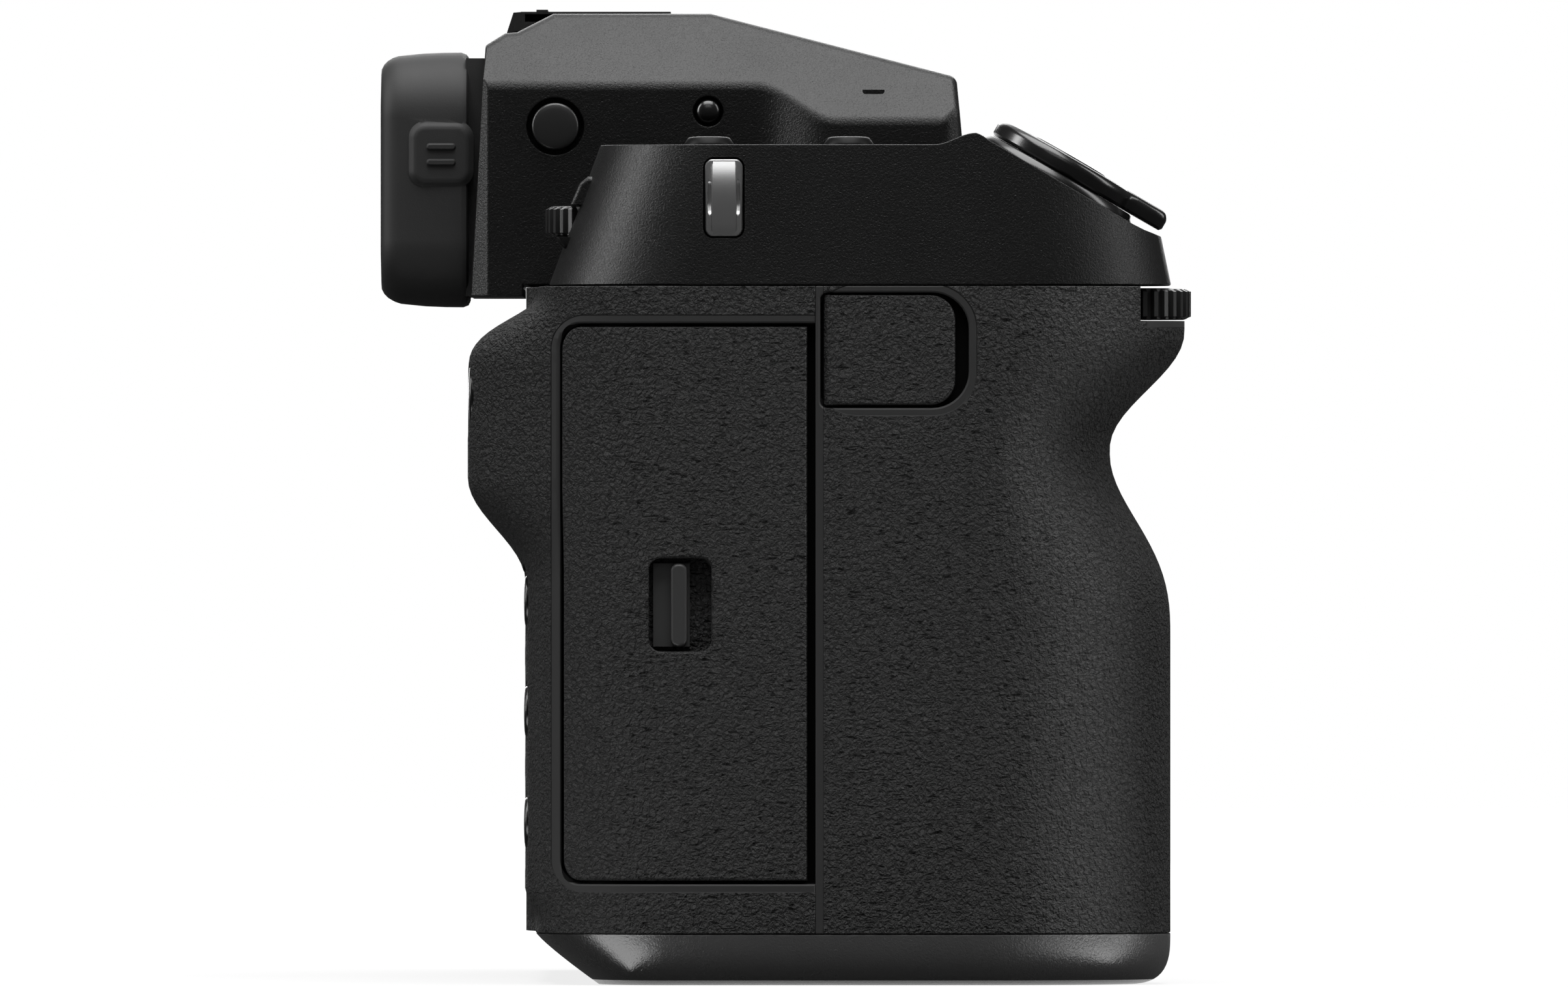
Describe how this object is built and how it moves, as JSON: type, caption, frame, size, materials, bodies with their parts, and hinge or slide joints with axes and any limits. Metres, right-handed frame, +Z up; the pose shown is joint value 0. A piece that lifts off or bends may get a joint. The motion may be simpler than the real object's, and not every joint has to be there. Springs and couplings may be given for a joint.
{
  "type": "medium format digital camera",
  "caption": "Mirrorless medium format camera body with deep grip, tilting rear screen and a slide-off eye-level viewfinder.",
  "frame": {"origin": "centre of the tripod socket's mouth on the base, below the lens axis, in the image plane", "axes": "+X to the user's left, away from the grip; +Y to the rear, towards the eye; +Z up"},
  "size_m": [0.1524, 0.0982, 0.1181],
  "materials": {
    "grip_leather": "leather grain, matte",
    "body_paint": "fine matte",
    "fine_grain_paint": "fine sand texture, satin",
    "bare_alloy": "satin",
    "mount_steel": "turned",
    "bright_steel": "polished",
    "matte_black": "matte",
    "gloss_black": "semi gloss",
    "dark_glass": "polished",
    "circuit_board": "satin",
    "soft_rubber": "smooth matte"
  },
  "bodies": {
    "body": {"front_shell": "body_paint", "rear_shell": "body_paint", "top_cover": "fine_grain_paint", "base_plate": "fine_grain_paint", "front_grip": "grip_leather", "rear_grip": "grip_leather", "chassis": "bare_alloy", "mount_ring": "mount_steel", "screws": "bright_steel", "lens_contacts": "matte_black", "shutter_frame": "matte_black", "main_board": "circuit_board", "battery": "matte_black", "card_reader": "bare_alloy", "remote_socket": "matte_black", "port_block": "matte_black", "strap_lugs": "bright_steel", "tripod_socket": "bright_steel", "hot_shoe": "mount_steel", "sub_monitor": "dark_glass", "shutter_base": "matte_black"},
    "viewfinder": {"evf_housing": "fine_grain_paint", "evf_eyecup": "soft_rubber", "evf_eyepiece": "dark_glass", "evf_display": "dark_glass", "evf_foot": "bare_alloy"},
    "lens_release": {"lens_release_button": "gloss_black", "lens_lock_pin": "bright_steel"},
    "screen_panel": {"screen_panel": "matte_black", "screen_glass": "dark_glass"},
    "shutter_leaf_1": {"shutter_leaf_1": "matte_black"},
    "shutter_leaf_2": {"shutter_leaf_2": "matte_black"},
    "sensor_carrier": {"sensor_carrier": "bare_alloy"},
    "sensor": {"sensor": "dark_glass"},
    "battery_door": {"battery_door": "fine_grain_paint"},
    "card_door": {"card_door": "grip_leather"},
    "card_door_latch": {"card_door_latch": "matte_black"},
    "remote_cover": {"remote_cover": "grip_leather"},
    "port_cover": {"port_cover": "body_paint"},
    "shutter_button": {"shutter_button": "gloss_black"},
    "power_switch": {"power_switch": "gloss_black"},
    "front_dial": {"front_dial": "gloss_black"},
    "rear_dial": {"rear_dial": "gloss_black"},
    "top_button_rear": {"top_button_rear": "gloss_black"},
    "top_button_front": {"top_button_front": "gloss_black"},
    "mode_dial": {"mode_dial": "gloss_black"},
    "drive_button": {"drive_button": "gloss_black"},
    "screen_bracket": {"screen_bracket": "matte_black"},
    "screen_tilt_frame": {"screen_tilt_frame": "matte_black"},
    "quick_menu_button": {"quick_menu_button": "gloss_black"},
    "focus_button": {"focus_button": "gloss_black"},
    "rear_button_upper": {"rear_button_upper": "gloss_black"},
    "rear_button_middle": {"rear_button_middle": "gloss_black"},
    "rear_button_lower": {"rear_button_lower": "gloss_black"},
    "focus_stick": {"focus_stick": "gloss_black"},
    "shoe_cover": {"shoe_cover": "matte_black"},
    "view_mode_button": {"view_mode_button": "gloss_black"},
    "evf_release_right": {"evf_release_right": "gloss_black"},
    "evf_release_left": {"evf_release_left": "gloss_black"},
    "dioptre_dial": {"dioptre_dial": "gloss_black"}
  },
  "joints": [
    {"name": "card_door_hinge", "type": "hinge", "parent": "body", "child": "card_door", "pos_m": [-0.07867, 0.0208, 0.0458], "axis": [0, 0, -1], "range_deg": [0, 100]},
    {"name": "card_latch_slide", "type": "slide", "parent": "card_door", "child": "card_door_latch", "axis": [0, -1, 0], "range_m": [0, 0.0022], "stiffness_N_per_m": 200},
    {"name": "remote_cover_hinge", "type": "hinge", "parent": "body", "child": "remote_cover", "pos_m": [-0.0832, -0.0098, 0.0763], "axis": [0, 0, -1], "range_deg": [0, 100]},
    {"name": "port_cover_hinge", "type": "hinge", "parent": "body", "child": "port_cover", "pos_m": [0.0675, 0.0059, 0.05], "axis": [0, 0, -1], "range_deg": [0, 100]},
    {"name": "battery_door_hinge", "type": "hinge", "parent": "body", "child": "battery_door", "pos_m": [-0.0509, -0.0175, 0.0011], "axis": [0, -1, 0], "range_deg": [0, 90]},
    {"name": "front_dial_turn", "type": "hinge", "parent": "body", "child": "front_dial", "pos_m": [-0.065, -0.0448, 0.08], "axis": [0, 0, 1], "continuous": true},
    {"name": "rear_dial_turn", "type": "hinge", "parent": "body", "child": "rear_dial", "pos_m": [-0.062, 0.0161, 0.0901], "axis": [0, 0, 1], "continuous": true},
    {"name": "mode_dial_turn", "type": "hinge", "parent": "body", "child": "mode_dial", "pos_m": [0.051, -0.002, 0.094], "axis": [0, 0, 1], "continuous": true},
    {"name": "power_switch_turn", "type": "hinge", "parent": "body", "child": "power_switch", "pos_m": [-0.064, -0.037, 0.0968], "axis": [0, -0.5, 0.866], "range_deg": [0, 30]},
    {"name": "shutter_press", "type": "slide", "parent": "body", "child": "shutter_button", "axis": [0, 0.5, -0.866], "range_m": [0, 0.0012], "stiffness_N_per_m": 400},
    {"name": "top_button_rear_press", "type": "slide", "parent": "body", "child": "top_button_rear", "axis": [0, 0, -1], "range_m": [0, 0.0006], "stiffness_N_per_m": 400},
    {"name": "top_button_front_press", "type": "slide", "parent": "body", "child": "top_button_front", "axis": [0, 0, -1], "range_m": [0, 0.0006], "stiffness_N_per_m": 400},
    {"name": "drive_button_press", "type": "slide", "parent": "body", "child": "drive_button", "axis": [0, 0, -1], "range_m": [0, 0.0006], "stiffness_N_per_m": 400},
    {"name": "quick_menu_press", "type": "slide", "parent": "body", "child": "quick_menu_button", "axis": [0, -1, 0], "range_m": [0, 0.0006], "stiffness_N_per_m": 400},
    {"name": "focus_button_press", "type": "slide", "parent": "body", "child": "focus_button", "axis": [0, -1, 0], "range_m": [0, 0.0006], "stiffness_N_per_m": 400},
    {"name": "rear_button_upper_press", "type": "slide", "parent": "body", "child": "rear_button_upper", "axis": [0, -1, 0], "range_m": [0, 0.0006], "stiffness_N_per_m": 400},
    {"name": "rear_button_middle_press", "type": "slide", "parent": "body", "child": "rear_button_middle", "axis": [0, -1, 0], "range_m": [0, 0.0006], "stiffness_N_per_m": 400},
    {"name": "rear_button_lower_press", "type": "slide", "parent": "body", "child": "rear_button_lower", "axis": [0, -1, 0], "range_m": [0, 0.0006], "stiffness_N_per_m": 400},
    {"name": "focus_stick_rock", "type": "hinge", "parent": "body", "child": "focus_stick", "pos_m": [-0.052, 0.0214, 0.043], "axis": [1, 0, 0], "range_deg": [-8, 8], "stiffness_Nm_per_rad": 0.02},
    {"name": "lens_release_press", "type": "slide", "parent": "body", "child": "lens_release", "axis": [0, 1, 0], "range_m": [0, 0.0018], "stiffness_N_per_m": 300},
    {"name": "shutter_leaf_1_run", "type": "slide", "parent": "body", "child": "shutter_leaf_1", "axis": [0, 0, 1], "range_m": [0, 0.0354]},
    {"name": "shutter_leaf_2_run", "type": "slide", "parent": "body", "child": "shutter_leaf_2", "axis": [0, 0, 1], "range_m": [0, 0.0174]},
    {"name": "sensor_shift", "type": "slide", "parent": "body", "child": "sensor_carrier", "axis": [1, 0, 0], "range_m": [-0.0025, 0.0025]},
    {"name": "sensor_lift", "type": "slide", "parent": "sensor_carrier", "child": "sensor", "axis": [0, 0, 1], "range_m": [-0.0025, 0.0025]},
    {"name": "screen_bracket_tilt", "type": "hinge", "parent": "body", "child": "screen_bracket", "pos_m": [0.011, 0.0259, 0.0135], "axis": [-1, 0, 0], "range_deg": [0, 40]},
    {"name": "screen_tilt", "type": "hinge", "parent": "screen_bracket", "child": "screen_tilt_frame", "pos_m": [0.011, 0.0259, 0.0757], "axis": [1, 0, 0], "range_deg": [0, 90]},
    {"name": "screen_side_tilt", "type": "hinge", "parent": "screen_tilt_frame", "child": "screen_panel", "pos_m": [-0.0311, 0.0259, 0.0446], "axis": [0, 0, 1], "range_deg": [0, 60]},
    {"name": "viewfinder_slide", "type": "slide", "parent": "body", "child": "viewfinder", "axis": [0, 1, 0], "range_m": [0, 0.03]},
    {"name": "shoe_cover_slide", "type": "slide", "parent": "viewfinder", "child": "shoe_cover", "axis": [0, 1, 0], "range_m": [0, 0.02]},
    {"name": "view_mode_press", "type": "slide", "parent": "viewfinder", "child": "view_mode_button", "axis": [1, 0, 0], "range_m": [0, 0.0006], "stiffness_N_per_m": 400},
    {"name": "evf_release_right_press", "type": "slide", "parent": "viewfinder", "child": "evf_release_right", "axis": [1, 0, 0], "range_m": [0, 0.0006], "stiffness_N_per_m": 400},
    {"name": "evf_release_left_press", "type": "slide", "parent": "viewfinder", "child": "evf_release_left", "axis": [-1, 0, 0], "range_m": [0, 0.0006], "stiffness_N_per_m": 400},
    {"name": "dioptre_turn", "type": "hinge", "parent": "viewfinder", "child": "dioptre_dial", "pos_m": [0.0272, 0.014, 0.0993], "axis": [1, 0, 0], "range_deg": [-150, 150]}
  ],
  "couplings": [
    {"joint": "shutter_leaf_2_run", "follows": "shutter_leaf_1_run", "ratio": 0.49152}
  ]
}
